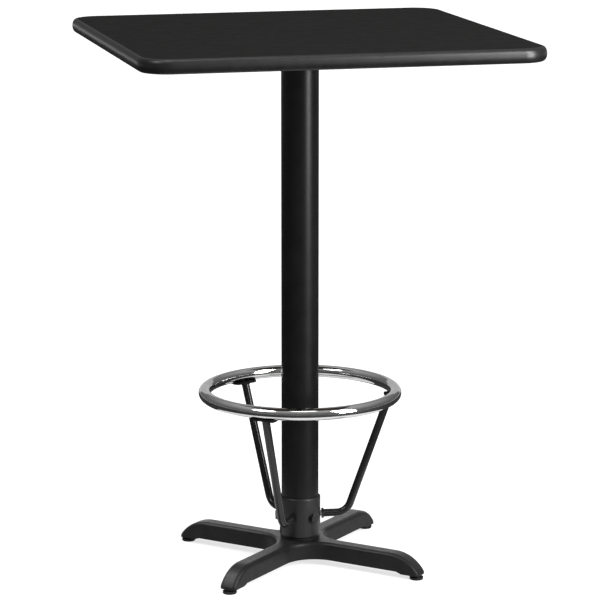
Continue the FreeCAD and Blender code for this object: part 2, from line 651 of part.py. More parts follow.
def make_set_screws():
    """Hex-head screws that clamp the collar to the column."""
    body = new_body("collar_set_screws")
    tip = f"({COLUMN_RADIUS} + Sizes.setScrewTip)"
    head_start = "(Sizes.collarRadius + Sizes.setScrewGap)"
    shank = pad(body, radial_circle(body, "shank", "Sizes.setScrewRadius", tip),
                f"{head_start} - {tip}")
    head_sketch = new_sketch(body, "head", "YZ_Plane", up=STRUT_HEIGHT, out=head_start)
    head = pad(body, add_hexagon(head_sketch, "Sizes.setScrewFlats"), "Sizes.setScrewHead")
    face = f"({head_start} + Sizes.setScrewHead)"
    bevel = bevel_radial_hexagon(body, "Sizes.setScrewFlats", face, "-")
    around_axis(body, [shank, head, bevel], STRUTS)
    return place(body, turn=f"Sizes.strutPhase + {180 / STRUTS}")


def make_strut_studs():
    """Studs in the lower ends of the struts, screwed into the collar."""
    body = new_body("strut_studs")
    inner = f"({COLUMN_RADIUS} + 2 * Sizes.collarClearance)"
    stud = pad(body, radial_circle(body, "stud", STRUT_STUD, inner),
               f"{STRUT_START} + Sizes.strutStudGrip - {inner}")
    around_axis(body, [stud], STRUTS)
    return place(body, turn="Sizes.strutPhase")


def make_lock_nuts():
    """Nuts that lock the studs against the collar."""
    body = new_body("strut_lock_nuts")
    sketch = new_sketch(body, "nut", "YZ_Plane", up=STRUT_HEIGHT, out=LOCK_NUT_START)
    add_circle(add_hexagon(sketch, "Sizes.lockNutFlats"), f"{STRUT_STUD} + Sizes.threadClearance")
    nut = pad(body, sketch, "Sizes.lockNutHeight")
    around_axis(body, [nut, bevel_radial_hexagon(body, "Sizes.lockNutFlats", LOCK_NUT_START, "+")],
                STRUTS)
    return place(body, turn="Sizes.strutPhase")


def make_strut(name, angle):
    """A bent tube: level out of the collar, one bend, then straight up and out to its bracket."""
    body = new_body(name)
    path = new_sketch(body, "path", "XZ_Plane")
    start = V(value(STRUT_START), value(STRUT_HEIGHT), 0)
    knee = V(value("Sizes.strutKnee"), start.y, 0)
    # The path runs on past the bracket, so that the tube can be cut level there.
    over = f"(({BRACKET_BOTTOM} - {STRUT_HEIGHT}) * 0.1)"
    top_x = f"({STRUT_TOP} + ({STRUT_TOP} - Sizes.strutKnee) * 0.1)"
    top_y = f"({BRACKET_BOTTOM} + {over})"
    top = V(value(top_x), value(top_y), 0)
    rise = (top - knee).normalize()
    turn = V(1, 0, 0).getAngle(rise)
    setback = value("Sizes.strutBend") * (1 - rise.x) / rise.y
    first_end, second_start = knee - V(setback, 0, 0), knee + rise * setback
    centre = first_end + V(0, value("Sizes.strutBend"), 0)
    quarter = V(0, 1, 0).getAngle(V(1, 0, 0))
    bend = Part.ArcOfCircle(Part.Circle(centre, V(0, 0, 1), value("Sizes.strutBend")),
                            3 * quarter, 3 * quarter + turn)
    level = path.addGeometry(Part.LineSegment(start, first_end))
    arc = path.addGeometry(bend)
    slope = path.addGeometry(Part.LineSegment(second_start, top))
    corner = path.addGeometry(Part.Point(knee), True)
    path.addConstraint(Sketcher.Constraint("Tangent", level, 2, arc, 1))
    path.addConstraint(Sketcher.Constraint("Tangent", arc, 2, slope, 1))
    path.addConstraint(Sketcher.Constraint("Horizontal", level))
    path.addConstraint(Sketcher.Constraint("PointOnObject", corner, 1, slope))
    pin_point(path, level, 1, STRUT_START, STRUT_HEIGHT)
    pin_point(path, corner, 1, "Sizes.strutKnee", STRUT_HEIGHT)
    pin_point(path, slope, 2, top_x, top_y)
    bind(path, "Radius", arc, size="Sizes.strutBend")

    section = radial_circle(body, "section", "Sizes.strutDiameter / 2", STRUT_START)
    add_circle(section, "Sizes.strutDiameter / 2 - Sizes.strutWall")
    pipe = body.newObject("PartDesign::AdditivePipe", f"{name}_pipe")
    pipe.Profile = section
    pipe.Spine = path
    doc.recompute()
    trim = new_sketch(body, "trim", out=f"{BRACKET_BOTTOM} + 2 * {over}")
    add_circle(trim, "Sizes.strutDiameter * 3", x=STRUT_TOP)
    pocket(body, trim, f"2 * {over}")
    return place(body, turn=f"Sizes.strutPhase + {angle}")


def bracket_screw_places():
    half = "(Sizes.bracketScrewSpacing / 2)"
    return (half, f"-{half}")


def make_ring_bracket(name, angle):
    """The plate on top of a strut, cradling the ring's tube, with two screw holes."""
    body = new_body(name)
    plate = new_sketch(body, "plate", out=BRACKET_BOTTOM)
    add_rounded_rectangle(plate, "Sizes.bracketWidth", "Sizes.bracketLength", "Sizes.bracketCorner",
                          x=BRACKET_RADIUS)
    pad(body, plate, "Sizes.bracketThickness + Sizes.bracketCradle")
    tube = new_sketch(body, "tube", "XZ_Plane")
    add_circle(tube, "Sizes.ringTube / 2", x="Sizes.ringRadius", y="Sizes.ringHeight")
    turned(body, tube, kind="Groove")
    holes = new_sketch(body, "holes", out=f"{RING_BOTTOM} + Sizes.bracketCradle")
    for place_y in bracket_screw_places():
        add_circle(holes, "Sizes.ringScrewRadius + Sizes.threadClearance", x="Sizes.ringRadius",
                   y=place_y)
    pocket(body, holes)
    return place(body, turn=f"Sizes.strutPhase + {angle}")


def make_bracket_screws():
    """Pan-head screws from below, through the brackets into the ring."""
    body = new_body("bracket_screws")
    screws = []
    for number, place_y in enumerate(bracket_screw_places()):
        screws.append(screw(body, f"screw_{number}", "Sizes.ringScrewRadius", "Sizes.ringRadius",
                            place_y, "Sizes.ringScrewLength", "Sizes.ringScrewRadius",
                            "Sizes.ringScrewHead", "Sizes.ringScrewHeadHeight"))
    around_axis(body, screws, STRUTS)
    return place(body, z=BRACKET_BOTTOM, turn="Sizes.strutPhase")


def make_foot_ring():
    """A closed ring of thin tube, tapped from below for the brackets' screws."""
    body = new_body("foot_ring")
    section = new_sketch(body, "section", "XZ_Plane")
    for radius in ("Sizes.ringTube / 2", "(Sizes.ringTube / 2 - Sizes.ringWall)"):
        add_circle(section, radius, x="Sizes.ringRadius", y="Sizes.ringHeight")
    turned(body, section)
    holes = new_sketch(body, "holes", out="Sizes.ringHeight")
    for place_y in bracket_screw_places():
        add_circle(holes, "Sizes.ringScrewRadius + Sizes.threadClearance", x="Sizes.ringRadius",
                   y=place_y)
    around_axis(body, [pocket(body, holes)], STRUTS)
    return place(body, turn="Sizes.strutPhase")


# ---------------------------------------------------------------- the whole table

nodes = [
    drill_top_core(make_top_core()),
    make_skin("top_laminate", "Sizes.overallHeight - Sizes.skinThickness", drilled=False),
    make_skin("backer_sheet", TOP_UNDERSIDE, drilled=True),
    make_edge_moulding(),
    make_top_spider(),
    make_spider_screws(),
    ring_body("column_tube", COLUMN_RADIUS, COLUMN_BORE, f"{COLUMN_TOP} - {HUB_TOP}", HUB_TOP),
    make_tie_rod(),
    ring_body("rod_plate_washer", "Sizes.plateWasherRadius", ROD_HOLE,
              "Sizes.plateWasherThickness", PLATE_WASHER_BOTTOM),
    ring_body("rod_spring_washer", "Sizes.springWasherRadius", ROD_HOLE,
              "Sizes.springWasherThickness", SPRING_WASHER_BOTTOM),
    make_rod_nut(),
    make_x_base(),
    drill_collar(make_collar()),
    make_set_screws(),
    make_strut_studs(),
    make_lock_nuts(),
    make_bracket_screws(),
    make_foot_ring(),
]
for corner_name, corner_angle in CORNER_ANGLES.items():
    nodes.append(make_glide_pad(f"glide_pad_{corner_name}", corner_angle))
    nodes.append(make_glide_stud(f"glide_stud_{corner_name}", corner_angle))
for strut_name, strut_angle in STRUT_ANGLES.items():
    nodes.append(make_strut(f"strut_{strut_name}", strut_angle))
    nodes.append(make_ring_bracket(f"ring_bracket_{strut_name}", strut_angle))

doc.recompute()
for item in doc.Objects:
    if {"Invalid", "Error"} & set(item.State):
        raise RuntimeError(f"{item.Name} failed: {item.State}")

os.makedirs("parts", exist_ok=True)
for node in nodes:
    shape = node.Shape
    if shape.isNull() or not shape.isValid() or not shape.Solids:
        raise RuntimeError(f"{node.Label} has no valid solid")
    shape.exportStep(f"parts/{node.Label}.step")
    print(f"{node.Label}: {len(shape.Solids)} solid(s), {shape.Volume / 1000:.1f} cm3")
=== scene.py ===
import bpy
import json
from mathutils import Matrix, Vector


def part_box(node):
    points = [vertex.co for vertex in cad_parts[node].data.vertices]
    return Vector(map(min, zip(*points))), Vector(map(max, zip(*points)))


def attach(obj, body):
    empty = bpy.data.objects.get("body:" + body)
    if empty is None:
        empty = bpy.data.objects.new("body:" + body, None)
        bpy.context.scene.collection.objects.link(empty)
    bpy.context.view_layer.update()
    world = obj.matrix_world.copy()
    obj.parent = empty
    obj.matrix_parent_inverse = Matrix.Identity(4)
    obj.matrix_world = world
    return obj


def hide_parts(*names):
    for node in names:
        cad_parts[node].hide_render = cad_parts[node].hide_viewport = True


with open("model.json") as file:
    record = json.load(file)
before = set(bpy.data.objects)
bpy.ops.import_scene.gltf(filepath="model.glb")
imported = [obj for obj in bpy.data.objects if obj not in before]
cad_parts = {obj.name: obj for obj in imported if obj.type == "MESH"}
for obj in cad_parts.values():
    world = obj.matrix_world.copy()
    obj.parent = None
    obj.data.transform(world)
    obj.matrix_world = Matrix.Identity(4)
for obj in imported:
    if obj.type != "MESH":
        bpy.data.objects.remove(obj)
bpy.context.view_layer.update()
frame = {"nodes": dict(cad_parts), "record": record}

import json
import math

import bmesh
import bpy
from mathutils import Matrix, Vector

MM = 0.001
NODES = frame["nodes"]
UP, DOWN, RIGHT = (0, 0, 1), (0, 0, -1), (1, 0, 0)


def circle(radius, height, steps):
    """Points round the z axis."""
    return [(radius * math.cos(a), radius * math.sin(a), height)
            for a in (math.tau * k / steps for k in range(steps))]


# ---------------------------------------------------------------- camera and lamps, in metres

CAMERA_TURN = 14.32        # degrees that the camera stands to the left of the front
CAMERA_DISTANCE = 5.80     # level distance from the column
CAMERA_HEIGHT = 1.7384
CAMERA_PITCH = 11.60       # degrees below the horizon
FRAME_PX = 600
FOCAL_PX = 2910.6
SENSOR = 36.0              # millimetres, like the lens
CLIP_NEAR, CLIP_FAR = 0.05, 100
SUN_DISTANCE, SUN_TARGET = 3.0, (0, 0, 0.6)      # only the direction of a sun matters


def make_camera():
    data = bpy.data.cameras.new("camera")
    data.sensor_width = SENSOR
    data.lens = FOCAL_PX / FRAME_PX * SENSOR
    data.clip_start, data.clip_end = CLIP_NEAR, CLIP_FAR
    camera = bpy.data.objects.new("camera", data)
    bpy.context.scene.collection.objects.link(camera)
    turn = math.radians(CAMERA_TURN)
    camera.location = (-CAMERA_DISTANCE * math.sin(turn), -CAMERA_DISTANCE * math.cos(turn),
                       CAMERA_HEIGHT)
    camera.rotation_euler = (math.radians(90 - CAMERA_PITCH), 0, -turn)
    bpy.context.scene.camera = camera


def make_lamp(kind, name, azimuth, elevation, power, distance, target, only=(), **sizes):
    """A lamp at an azimuth from the front, turning to the right, aimed at the target.

    It lights everything, or only what is named.
    """
    data = bpy.data.lights.new(name, kind)
    data.energy = power
    for size, value in sizes.items():
        setattr(data, size, value)
    lamp = bpy.data.objects.new(name, data)
    bpy.context.scene.collection.objects.link(lamp)
    a, e = math.radians(azimuth), math.radians(elevation)
    away = Vector((math.sin(a) * math.cos(e), -math.cos(a) * math.cos(e), math.sin(e)))
    lamp.location = Vector(target) + distance * away
    lamp.rotation_euler = away.to_track_quat("Z", "Y").to_euler()
    lamp.visible_camera = False
    if only:
        lamp.light_linking.receiver_collection = bpy.data.collections.new(name)
        for thing in only:
            lamp.light_linking.receiver_collection.objects.link(thing)


def make_sun(name, azimuth, elevation, power, spread):
    """A sun whose disc is this many degrees wide."""
    make_lamp("SUN", name, azimuth, elevation, power, SUN_DISTANCE, SUN_TARGET,
              angle=math.radians(spread))


def make_panel(name, azimuth, elevation, power, distance, height, size, only=()):
    """A flat lamp of a width and height, aimed at a height on the column's axis."""
    make_lamp("AREA", name, azimuth, elevation, power, distance, (0, 0, height), only,
              shape="RECTANGLE", size=size[0], size_y=size[1])


# ---------------------------------------------------------------- studio, in metres

# Sine of the elevation, and how bright the studio is there: dim walls and a pale ceiling.
STUDIO_BANDS = ((-1.0, 0.40), (-0.03, 0.26), (0.0, 0.20), (0.25, 0.21), (0.45, 0.28),
                (0.75, 0.55), (1.0, 0.85))
BACKDROP_RADIUS = 60
FLOOR_HALF = 40
FLOOR_GREY, FLOOR_GLOW = 0.36, 0.72
FLAG_RADII = (0.50, 12)
FLAG_HEIGHT = 0.0005
FLAG_GREY = 0.03


def make_world():
    world = bpy.data.worlds.new("studio")
    bpy.context.scene.world = world
    world.use_nodes = True
    tree = world.node_tree
    tree.nodes.clear()
    output = tree.nodes.new("ShaderNodeOutputWorld")
    background = tree.nodes.new("ShaderNodeBackground")
    ramp = tree.nodes.new("ShaderNodeValToRGB")
    place = tree.nodes.new("ShaderNodeTexCoord")
    split = tree.nodes.new("ShaderNodeSeparateXYZ")
    height = tree.nodes.new("ShaderNodeMapRange")
    height.inputs["From Min"].default_value = -1
    tree.links.new(place.outputs["Generated"], split.inputs[0])
    tree.links.new(split.outputs["Z"], height.inputs["Value"])
    tree.links.new(height.outputs[0], ramp.inputs[0])
    stops = ramp.color_ramp.elements
    while len(stops) < len(STUDIO_BANDS):
        stops.new(1.0)
    for stop, (sine, level) in zip(stops, STUDIO_BANDS):
        stop.position, stop.color = (sine + 1) / 2, (level, level, level, 1)
    tree.links.new(ramp.outputs["Color"], background.inputs["Color"])
    tree.links.new(background.outputs[0], output.inputs["Surface"])


def make_stage_piece(name, points, faces, level, glow):
    """A matt piece of the studio, of one grey, that glows white."""
    mesh = bpy.data.meshes.new(name)
    mesh.from_pydata(points, [], faces)
    thing = bpy.data.objects.new(name, mesh)
    bpy.context.scene.collection.objects.link(thing)
    material = bpy.data.materials.new(name)
    material.use_nodes = True
    shader = material.node_tree.nodes["Principled BSDF"]
    shader.inputs["Base Color"].default_value = (level, level, level, 1)
    shader.inputs["Roughness"].default_value = 0.9
    shader.inputs["Specular IOR Level"].default_value = 0.1
    shader.inputs["Emission Color"].default_value = (1, 1, 1, 1)
    shader.inputs["Emission Strength"].default_value = glow
    mesh.materials.append(material)
    return thing, material


def make_backdrop():
    """A white backdrop all round, which lights nothing."""
    ball = bmesh.new()
    bmesh.ops.create_icosphere(ball, subdivisions=3, radius=BACKDROP_RADIUS)
    points = [tuple(vertex.co) for vertex in ball.verts]
    faces = [tuple(vertex.index for vertex in face.verts) for face in ball.faces]
    ball.free()
    backdrop, _ = make_stage_piece("backdrop", points, faces, 0.0, 1.0)
    backdrop.visible_diffuse = backdrop.visible_glossy = backdrop.visible_shadow = False
    backdrop.visible_transmission = False


def make_floor():
    """A pale floor that is open from below."""
    corners = [(-FLOOR_HALF, -FLOOR_HALF, 0), (FLOOR_HALF, -FLOOR_HALF, 0),
               (FLOOR_HALF, FLOOR_HALF, 0), (-FLOOR_HALF, FLOOR_HALF, 0)]
    _, material = make_stage_piece("floor", corners, [(0, 1, 2, 3)], FLOOR_GREY, FLOOR_GLOW)
    tree = material.node_tree
    side = tree.nodes.new("ShaderNodeNewGeometry")
    clear = tree.nodes.new("ShaderNodeBsdfTransparent")
    mix = tree.nodes.new("ShaderNodeMixShader")
    tree.links.new(side.outputs["Backfacing"], mix.inputs[0])
    tree.links.new(tree.nodes["Principled BSDF"].outputs[0], mix.inputs[1])
    tree.links.new(clear.outputs[0], mix.inputs[2])
    tree.links.new(mix.outputs[0], tree.nodes["Material Output"].inputs["Surface"])


def make_flag():
    """A dark ring on the floor round the table, which only reflections see."""
    steps = 96
    points = [point for radius in FLAG_RADII for point in circle(radius, FLAG_HEIGHT, steps)]
    faces = [(k, k + steps, (k + 1) % steps + steps, (k + 1) % steps) for k in range(steps)]
    flag, _ = make_stage_piece("flag", points, faces, FLAG_GREY, 0.0)
    flag.visible_camera = flag.visible_diffuse = flag.visible_shadow = False


# ---------------------------------------------------------------- materials

NOISE_LOW, NOISE_HIGH = 0.3, 0.7        # most of a noise lies between these


class Surface:
    """A Principled material whose colour, roughness and bump come from noise in metres."""

    def __init__(self, name, roughness, metallic=0.0, specular=0.5):
        self.material = bpy.data.materials.new(name)
        self.material.use_nodes = True
        self.tree = self.material.node_tree
        self.shader = self.tree.nodes["Principled BSDF"]
        self.shader.inputs["Metallic"].default_value = metallic
        self.shader.inputs["Roughness"].default_value = roughness
        self.shader.inputs["Specular IOR Level"].default_value = specular
        self.place = self.tree.nodes.new("ShaderNodeTexCoord").outputs["Object"]
        self.normal = None

    def link(self, output, target):
        self.tree.links.new(output, target)

    def noise(self, size, detail=2.0, stretch=(1, 1, 1)):
        """Noise whose grain is about this size in metres."""
        mapping = self.tree.nodes.new("ShaderNodeMapping")
        mapping.inputs["Scale"].default_value = stretch
        self.link(self.place, mapping.inputs["Vector"])
        node = self.tree.nodes.new("ShaderNodeTexNoise")
        node.inputs["Scale"].default_value = 1 / size
        node.inputs["Detail"].default_value = detail
        self.link(mapping.outputs[0], node.inputs["Vector"])
        return node.outputs["Fac"]

    def colour(self, factor, dark, light, start=NOISE_LOW, end=NOISE_HIGH):
        """Colour from dark to light as the noise goes from start to end."""
        ramp = self.tree.nodes.new("ShaderNodeValToRGB")
        for stop, position, value in zip(ramp.color_ramp.elements, (start, end), (dark, light)):
            stop.position, stop.color = position, (*value, 1)
        self.link(factor, ramp.inputs[0])
        self.link(ramp.outputs["Color"], self.shader.inputs["Base Color"])

    def roughen(self, factor, low, high):
        """Roughness from low to high over the noise."""
        node = self.tree.nodes.new("ShaderNodeMapRange")
        node.inputs["From Min"].default_value = NOISE_LOW
        node.inputs["From Max"].default_value = NOISE_HIGH
        node.inputs["To Min"].default_value = low
        node.inputs["To Max"].default_value = high
        self.link(factor, node.inputs["Value"])
        self.link(node.outputs[0], self.shader.inputs["Roughness"])

    def bump(self, height, depth):
        """Add a bump of this depth in metres; later bumps ride on earlier ones."""
        node = self.tree.nodes.new("ShaderNodeBump")
        node.inputs["Strength"].default_value = 1.0
        node.inputs["Distance"].default_value = depth
        self.link(height, node.inputs["Height"])
        if self.normal:
            self.link(self.normal, node.inputs["Normal"])
        self.normal = node.outputs["Normal"]
        self.link(self.normal, self.shader.inputs["Normal"])


def grey(level, warmth=0.0):
    return (level * (1 + warmth), level, level * (1 - warmth))


BLACKS = (grey(0.004), grey(0.006))     # the two ends of most of the black finishes


def make_materials():
    laminate = Surface("laminate", 0.62, specular=0.025)
    speck = laminate.noise(0.9 * MM, 3)
    laminate.colour(speck, grey(0.006, 0.02), grey(0.009, 0.02), 0.35, 0.68)
    laminate.roughen(laminate.noise(30 * MM), 0.58, 0.68)
    laminate.bump(speck, 0.01 * MM)

    vinyl = Surface("edge_vinyl", 0.38, specular=0.26)
    vinyl.colour(vinyl.noise(14 * MM), *BLACKS)
    vinyl.roughen(vinyl.noise(2.5 * MM), 0.31, 0.38)
    vinyl.bump(vinyl.noise(0.7 * MM, 3), 0.03 * MM)

    coat = Surface("black_powder_coat", 0.34, specular=0.14)
    coat.colour(coat.noise(40 * MM), grey(0.0030), grey(0.0045))
    coat.roughen(coat.noise(3 * MM), 0.30, 0.37)
    coat.bump(coat.noise(1.3 * MM, 1), 0.035 * MM)

    sleeve = Surface("black_collar_coat", 0.42, specular=0.26)
    sleeve.colour(sleeve.noise(25 * MM), *BLACKS)
    sleeve.roughen(sleeve.noise(3 * MM), 0.38, 0.46)
    sleeve.bump(sleeve.noise(1.3 * MM, 1), 0.035 * MM)

    iron = Surface("black_cast_iron", 0.42, specular=0.10)
    iron.colour(iron.noise(25 * MM), *BLACKS)
    iron.roughen(iron.noise(4 * MM), 0.38, 0.50)
    iron.bump(iron.noise(6 * MM, 1), 0.12 * MM)
    iron.bump(iron.noise(1.1 * MM, 2), 0.05 * MM)

    enamel = Surface("black_enamel", 0.24, specular=0.3)
    enamel.colour(enamel.noise(30 * MM), *BLACKS)
    enamel.roughen(enamel.noise(5 * MM), 0.20, 0.30)
    enamel.bump(enamel.noise(2.2 * MM, 1), 0.012 * MM)

    chrome = Surface("chrome", 0.05, metallic=1.0)
    chrome.colour(chrome.noise(20 * MM), grey(0.45), grey(0.50))
    chrome.roughen(chrome.noise(9 * MM, 3), 0.035, 0.075)

    zinc = Surface("zinc_plate", 0.32, metallic=1.0)
    zinc.colour(zinc.noise(3 * MM, 3), (0.44, 0.44, 0.42), (0.62, 0.61, 0.57))
    zinc.roughen(zinc.noise(1.5 * MM), 0.26, 0.42)
    zinc.bump(zinc.noise(0.6 * MM), 0.01 * MM)

    nylon = Surface("black_nylon", 0.5, specular=0.14)
    nylon.colour(nylon.noise(5 * MM), *BLACKS)
    nylon.roughen(nylon.noise(1.2 * MM), 0.42, 0.58)
    nylon.bump(nylon.noise(0.5 * MM), 0.02 * MM)

    backer = Surface("backer_sheet", 0.7, specular=0.3)
    backer.colour(backer.noise(6 * MM, 4), (0.030, 0.022, 0.017), (0.048, 0.036, 0.028))
    backer.roughen(backer.noise(2 * MM), 0.6, 0.8)
    backer.bump(backer.noise(1.5 * MM, 4), 0.04 * MM)

    board = Surface("particle_board", 0.8, specular=0.2)
    board.colour(board.noise(2 * MM, 4, (1, 1, 2)), (0.30, 0.19, 0.10), (0.62, 0.45, 0.28))
    board.roughen(board.noise(1.5 * MM), 0.7, 0.9)
    board.bump(board.noise(1.2 * MM, 3), 0.2 * MM)
    return {
        "laminate": laminate, "edge_vinyl": vinyl, "particleboard": board, "backer": backer,
        "black_steel": coat, "black_iron": iron, "collar_coat": sleeve, "strut_enamel": enamel,
        "black_nylon": nylon, "chrome": chrome, "zinc_steel": zinc,
    }


ENAMELLED = ("strut_", "ring_bracket", "collar_set", "bracket_screws")


def dress_nodes(surfaces):
    """Give every CAD node the material of its slot; the foot ring's black parts are glossier."""
    slots = {row["node"]: row["material_slot"] for row in frame["record"]["subparts"]}
    for name, node in NODES.items():
        enamelled = slots[name] == "black_steel" and name.startswith(ENAMELLED)
        surface = surfaces["strut_enamel" if enamelled else slots[name]]
        node.data.materials.clear()
        node.data.materials.append(surface.material)


# ---------------------------------------------------------------- pieces, in millimetres

LEG_ANGLES = (45, 135, 225, 315)
STRUT_ANGLES = (-6, 114, 234)
GLIDE_SIDES = ("front_left", "front_right", "rear_right", "rear_left")

TOP_CORNER = 60                         # radius of the top's corners in plan
NOSE_WIDTH, NOSE_POWERS = 10, (2.2, 2.1)
TONGUE_LENGTH, TONGUE_HALF = 9, 1.1

RING_RADIUS, RING_HEIGHT, RING_TUBE = 195, 356, 12.7
COLLAR_BORE, COLLAR_RADIUS = 38.4, 42
STRUT_TOP_RADIUS, STRUT_TUBE, STRUT_LEAN = 185, 8, 19.8
BRACKET_UNDERSIDE, SPIDER_UNDERSIDE = 340.3, 1060.8
BEAD_SIZE = 2.3
BEAD_RIPPLES = ((0.12, 26, 1), (0.10, 5, 2))     # size, waves round the tube, phase per strut

# Each thread is its radius and its pitch.
STRUT_THREAD, STUD_START, STUD_HEIGHT, STUD_LENGTH = (5.95, 1.75), 38.6, 97.3, 30.4
GLIDE_THREAD = (4.0, 1.25)
ROD_THREAD, ROD_THREAD_DEPTH, ROD_COVER = (5.2, 1.5), 0.5, 0.1
THREAD_DEPTH = 0.6                      # in pitches, where no depth is given
THREAD_PROFILE = ((0, False), (0.16, False), (0.46, True), (0.70, True))  # in pitches; a crest?
THREAD_LEAD_IN = 0.9                    # how fast a crest rises from a thread's end

BRACKET_SCREW = {"radius": 4.7, "height": 3.0, "shank": 2.45, "shank_length": 9}
BRACKET_SCREW_OFFSET = 18
RECESS_TURN = 20                        # degrees that a screw's cross is turned
SPIDER_SCREW = {"radius": 4.6, "height": 2.8, "shank": 2.25, "shank_length": 26}
SPIDER_SCREW_REACHES, SPIDER_RECESS_TURNS = (92, 136), (12, 43)


def unit(angle):
    a = math.radians(angle)
    return Vector((math.cos(a), math.sin(a), 0))


def raised(height):
    return Vector((0, 0, height))


def frame_at(place, axis, across=UP):
    """A matrix whose origin is the place and whose z axis is the axis."""
    z = Vector(axis).normalized()
    x = Vector(across).cross(z).normalized()
    y = z.cross(x)
    turn = Matrix((x, y, z)).transposed().to_4x4()
    return Matrix.Translation(Vector(place)) @ turn


class Shell:
    """Collects vertices and faces, and turns them into one piece."""

    def __init__(self):
        self.points, self.faces = [], []

    def add(self, points, faces, at=None):
        start = len(self.points)
        self.points += [tuple(at @ Vector(p)) if at else tuple(p) for p in points]
        self.faces += [tuple(start + i for i in face) for face in faces]

    def grid(self, rows, at=None, closed_rows=False, closed_columns=True):
        """Join rows of equally many points with quads."""
        count, width = len(rows), len(rows[0])
        faces = []
        for i in range(count if closed_rows else count - 1):
            for j in range(width if closed_columns else width - 1):
                k, m = (i + 1) % count, (j + 1) % width
                faces.append((i * width + j, i * width + m, k * width + m, k * width + j))
        self.add([point for row in rows for point in row], faces, at)

    def piece(self, name, body, slot, surface, replaces=(), sharp=38):
        mesh = bpy.data.meshes.new(name)
        mesh.from_pydata([Vector(p) * MM for p in self.points], [], self.faces)
        mesh.validate()
        mesh.polygons.foreach_set("use_smooth", [True] * len(mesh.polygons))
        mesh.set_sharp_from_angle(angle=math.radians(sharp))
        mesh.materials.append(surface.material)
        piece = bpy.data.objects.new(name, mesh)
        bpy.context.scene.collection.objects.link(piece)
        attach(piece, body)
        if replaces:
            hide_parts(*replaces)
        return piece


def rounded(corners, radius, steps=5):
    """A (radius, height) profile whose inner corners are rounded; the ends stay."""
    most = 0.45                         # of a side, so that two roundings never meet
    points = [Vector(corners[0])]
    for before, corner, after in zip(corners, corners[1:], corners[2:]):
        corner = Vector(corner)
        a, b = (Vector(before) - corner), (Vector(after) - corner)
        size = min(radius, a.length * most, b.length * most)
        start, end = corner + a.normalized() * size, corner + b.normalized() * size
        for k in range(steps + 1):
            t = k / steps
            points.append(start * (1 - t) ** 2 + corner * 2 * t * (1 - t) + end * t ** 2)
    points.append(Vector(corners[-1]))
    return [tuple(point) for point in points]


def edge_moulding(surface):
    """The vinyl edge with its crowned nose, all round the top, and its tongue in the kerf."""
    lo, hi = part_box("edge_moulding")
    inset = hi[0] / MM - TOP_CORNER
    middle, half = (hi[2] + lo[2]) / 2 / MM, (hi[2] - lo[2]) / 2 / MM
    nose_steps, corner_steps = 40, 24
    section = []
    for k in range(nose_steps + 1):
        t = math.pi * (k / nose_steps - 0.5)
        across, up = math.cos(t), math.sin(t)
        section.append((NOSE_WIDTH * across ** (2 / NOSE_POWERS[0]),
                        half * math.copysign(abs(up) ** (2 / NOSE_POWERS[1]), up)))
    section += [(0, TONGUE_HALF), (-TONGUE_LENGTH, TONGUE_HALF),
                (-TONGUE_LENGTH, -TONGUE_HALF), (0, -TONGUE_HALF)]
    rows = []
    for k, (x, y) in enumerate(((1, 1), (-1, 1), (-1, -1), (1, -1))):
        centre = Vector((x * inset, y * inset, middle))
        for j in range(corner_steps + 1):
            out = unit(90 * k + 90 * j / corner_steps)
            rows.append([centre + out * (TOP_CORNER - NOSE_WIDTH + u) + raised(z)
                         for u, z in section])
    shell = Shell()
    shell.grid(rows, closed_rows=True)
    shell.piece("edge_nosing", "table", "edge_vinyl", surface, ["edge_moulding"])


def foot_ring(surface):
    """The bent and polished tube, finer than the frame's."""
    shell = Shell()
    steps, tube_steps = 320, 48
    rows = []
    for k in range(steps):
        out = unit(360 * k / steps)
        rows.append([out * (RING_RADIUS + RING_TUBE * math.cos(a)) +
                     raised(RING_HEIGHT + RING_TUBE * math.sin(a))
                     for a in (math.tau * j / tube_steps for j in range(tube_steps))])
    shell.grid(rows, closed_rows=True)
    return shell.piece("ring_tube", "foot_ring_unit", "chrome", surface, ["foot_ring"])


def collar(surface):
    """The sleeve with a broken edge all round its lips."""
    lo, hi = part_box("collar")
    bottom, top = lo[2] / MM, hi[2] / MM
    foot, lip_width, lip_height, mouth = 1.6, 2.4, 2.6, 0.6
    rounding, steps = 0.9, 160
    start = (COLLAR_BORE + 0.5, bottom)      # where the profile's ends meet
    corners = [start, (COLLAR_RADIUS - foot, bottom), (COLLAR_RADIUS, bottom + foot),
               (COLLAR_RADIUS, top - lip_height), (COLLAR_RADIUS - lip_width, top),
               (COLLAR_BORE + mouth, top), (COLLAR_BORE, top - mouth),
               (COLLAR_BORE, bottom + mouth), start]
    shell = Shell()
    shell.grid([circle(radius, height, steps) for radius, height in rounded(corners, rounding)])
    shell.piece("collar_sleeve", "foot_ring_unit", "black_steel", surface, ["collar"])


def helix(shell, at, radius, pitch, length, depth=None, steps=24):
    """A screw thread along the z axis from 0 to the length, with a lead-in at both ends."""
    root = radius - (depth or pitch * THREAD_DEPTH)
    total = (math.ceil(length / pitch) + 2) * steps
    points, faces = [], []
    for i in range(total):
        angle = math.tau * i / steps
        for place, crest in THREAD_PROFILE:
            z = pitch * (i / steps + place - 1)
            inside = max(min(z, length - z), 0)
            r = min(radius if crest else root, root + inside * THREAD_LEAD_IN)
            points.append((r * math.cos(angle), r * math.sin(angle), min(max(z, 0), length)))
    for i in range(total - 1):
        for j in range(3):
            faces.append((i * 4 + j, (i + 1) * 4 + j, (i + 1) * 4 + j + 1, i * 4 + j + 1))
        if i + 1 + steps < total:
            faces.append((i * 4 + 3, (i + 1) * 4 + 3, (i + 1 + steps) * 4, (i + steps) * 4))
    shell.add(points, faces, at)
    for z, order in ((0, -1), (length, 1)):
        shell.add(circle(root, z, steps), [tuple(range(steps))[::order]], at)


